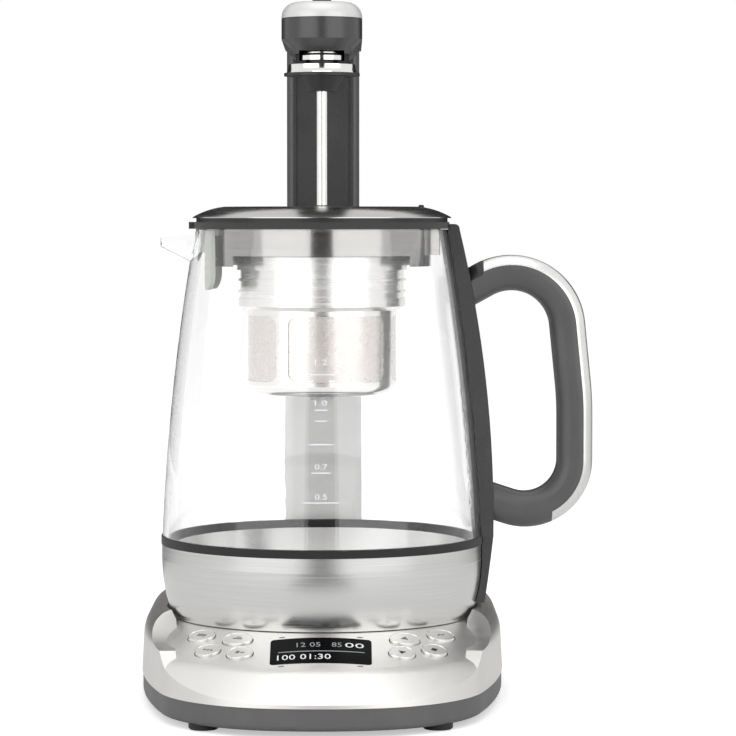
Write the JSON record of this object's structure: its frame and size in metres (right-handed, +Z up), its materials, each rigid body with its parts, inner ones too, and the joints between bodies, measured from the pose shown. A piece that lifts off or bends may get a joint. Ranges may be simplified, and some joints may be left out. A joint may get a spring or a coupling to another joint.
{
  "type": "automatic tea maker",
  "caption": "Automatic tea maker: a glass jug with handle, spout and steel lid on a heated base with display and buttons; a motorised rear arm lowers a tea basket on a rod.",
  "frame": {"origin": "on the table, in the plane of the feet, under the axis of the jug", "axes": "+X to the jug's handle, -Y to the user, +Z up"},
  "size_m": [0.1995, 0.2246, 0.3076],
  "materials": {
    "steel": "brushed",
    "dark_grey": "satin",
    "arm_grey": "satin",
    "grip_grey": "matt",
    "silver": "satin",
    "silver_paint": "satin",
    "pale_plastic": "satin",
    "black_plastic": "satin",
    "black_rubber": "matt",
    "glass": "clear",
    "display_black": "gloss",
    "board_green": "satin",
    "inner_steel": "plain"
  },
  "bodies": {
    "base": {"base_cover": "steel", "base_pan": "dark_grey", "base_feet": "black_rubber", "base_screws": "inner_steel", "display_window": "display_black", "display_module": "display_black", "control_board": "board_green", "keypad_mat": "black_rubber", "power_board": "board_green", "base_connector": "black_plastic", "cord_gland": "black_plastic", "tower_front_shell": "dark_grey", "tower_rear_shell": "dark_grey", "tower_collar": "dark_grey", "gear_motor": "inner_steel", "motor_bracket": "inner_steel", "limit_switches": "black_plastic"},
    "lift_arm": {"lift_column": "arm_grey", "lift_rack": "pale_plastic", "column_shoe": "black_plastic", "arm_body": "arm_grey", "arm_cap": "silver_paint", "arm_pin": "steel", "coupling_socket": "black_plastic", "coupling_magnet": "inner_steel"},
    "pinion": {"drive_pinion": "pale_plastic"},
    "release": {"release_button": "black_plastic"},
    "infuser": {"infuser_rod": "steel", "rod_nut": "steel", "basket_body": "steel", "basket_mesh": "steel", "basket_flange": "steel", "basket_neck": "steel", "coupling_hub": "black_plastic", "coupling_flange": "steel", "coupling_knob": "steel"},
    "jug": {"jug_base_shell": "steel", "jug_ring": "black_rubber", "jug_glass": "glass", "heater_plate": "steel", "heating_element": "inner_steel", "jug_connector": "black_plastic", "handle_spine": "black_plastic", "handle_grip": "grip_grey", "handle_strip": "silver", "handle_screws": "inner_steel"},
    "lid": {"lid_cap": "steel", "lid_core": "black_plastic", "lid_gasket": "black_rubber", "lid_skirt": "steel", "spout_guard": "pale_plastic"},
    "button_left_inner_near_key": {"button_left_inner_near": "steel"},
    "button_left_inner_far_key": {"button_left_inner_far": "steel"},
    "button_left_outer_near_key": {"button_left_outer_near": "steel"},
    "button_left_outer_far_key": {"button_left_outer_far": "steel"},
    "button_right_inner_near_key": {"button_right_inner_near": "steel"},
    "button_right_inner_far_key": {"button_right_inner_far": "steel"},
    "button_right_outer_near_key": {"button_right_outer_near": "steel"},
    "button_right_outer_far_key": {"button_right_outer_far": "steel"}
  },
  "joints": [
    {"name": "lift", "type": "slide", "parent": "base", "child": "lift_arm", "axis": [0, 0, 1], "range_m": [-0.044, 0]},
    {"name": "pinion_spin", "type": "hinge", "parent": "base", "child": "pinion", "pos_m": [-0.0032, 0.0807, 0.1316], "axis": [0, 1, 0], "range_deg": [-320, 5]},
    {"name": "release_press", "type": "slide", "parent": "lift_arm", "child": "release", "axis": [0, 0, -1], "range_m": [0, 0.0018], "stiffness_N_per_m": 400, "springref_m": -0.001},
    {"name": "infuser_swivel", "type": "hinge", "parent": "lift_arm", "child": "infuser", "pos_m": [0, 0, 0.28], "axis": [0, 0, 1], "continuous": true},
    {"name": "jug_lift", "type": "slide", "parent": "base", "child": "jug", "axis": [0, 0, 1], "range_m": [0, 0.02]},
    {"name": "lid_lift", "type": "slide", "parent": "jug", "child": "lid", "axis": [0, 0, 1], "range_m": [0, 0.028]},
    {"name": "button_left_inner_near_press", "type": "slide", "parent": "base", "child": "button_left_inner_near_key", "axis": [0, 0, -1], "range_m": [0, 0.0012], "stiffness_N_per_m": 300, "springref_m": -0.001},
    {"name": "button_left_inner_far_press", "type": "slide", "parent": "base", "child": "button_left_inner_far_key", "axis": [0, 0, -1], "range_m": [0, 0.0012], "stiffness_N_per_m": 300, "springref_m": -0.001},
    {"name": "button_left_outer_near_press", "type": "slide", "parent": "base", "child": "button_left_outer_near_key", "axis": [0, 0, -1], "range_m": [0, 0.0012], "stiffness_N_per_m": 300, "springref_m": -0.001},
    {"name": "button_left_outer_far_press", "type": "slide", "parent": "base", "child": "button_left_outer_far_key", "axis": [0, 0, -1], "range_m": [0, 0.0012], "stiffness_N_per_m": 300, "springref_m": -0.001},
    {"name": "button_right_inner_near_press", "type": "slide", "parent": "base", "child": "button_right_inner_near_key", "axis": [0, 0, -1], "range_m": [0, 0.0012], "stiffness_N_per_m": 300, "springref_m": -0.001},
    {"name": "button_right_inner_far_press", "type": "slide", "parent": "base", "child": "button_right_inner_far_key", "axis": [0, 0, -1], "range_m": [0, 0.0012], "stiffness_N_per_m": 300, "springref_m": -0.001},
    {"name": "button_right_outer_near_press", "type": "slide", "parent": "base", "child": "button_right_outer_near_key", "axis": [0, 0, -1], "range_m": [0, 0.0012], "stiffness_N_per_m": 300, "springref_m": -0.001},
    {"name": "button_right_outer_far_press", "type": "slide", "parent": "base", "child": "button_right_outer_far_key", "axis": [0, 0, -1], "range_m": [0, 0.0012], "stiffness_N_per_m": 300, "springref_m": -0.001}
  ],
  "couplings": [
    {"joint": "pinion_spin", "follows": "lift", "rad_per_m": 125}
  ]
}
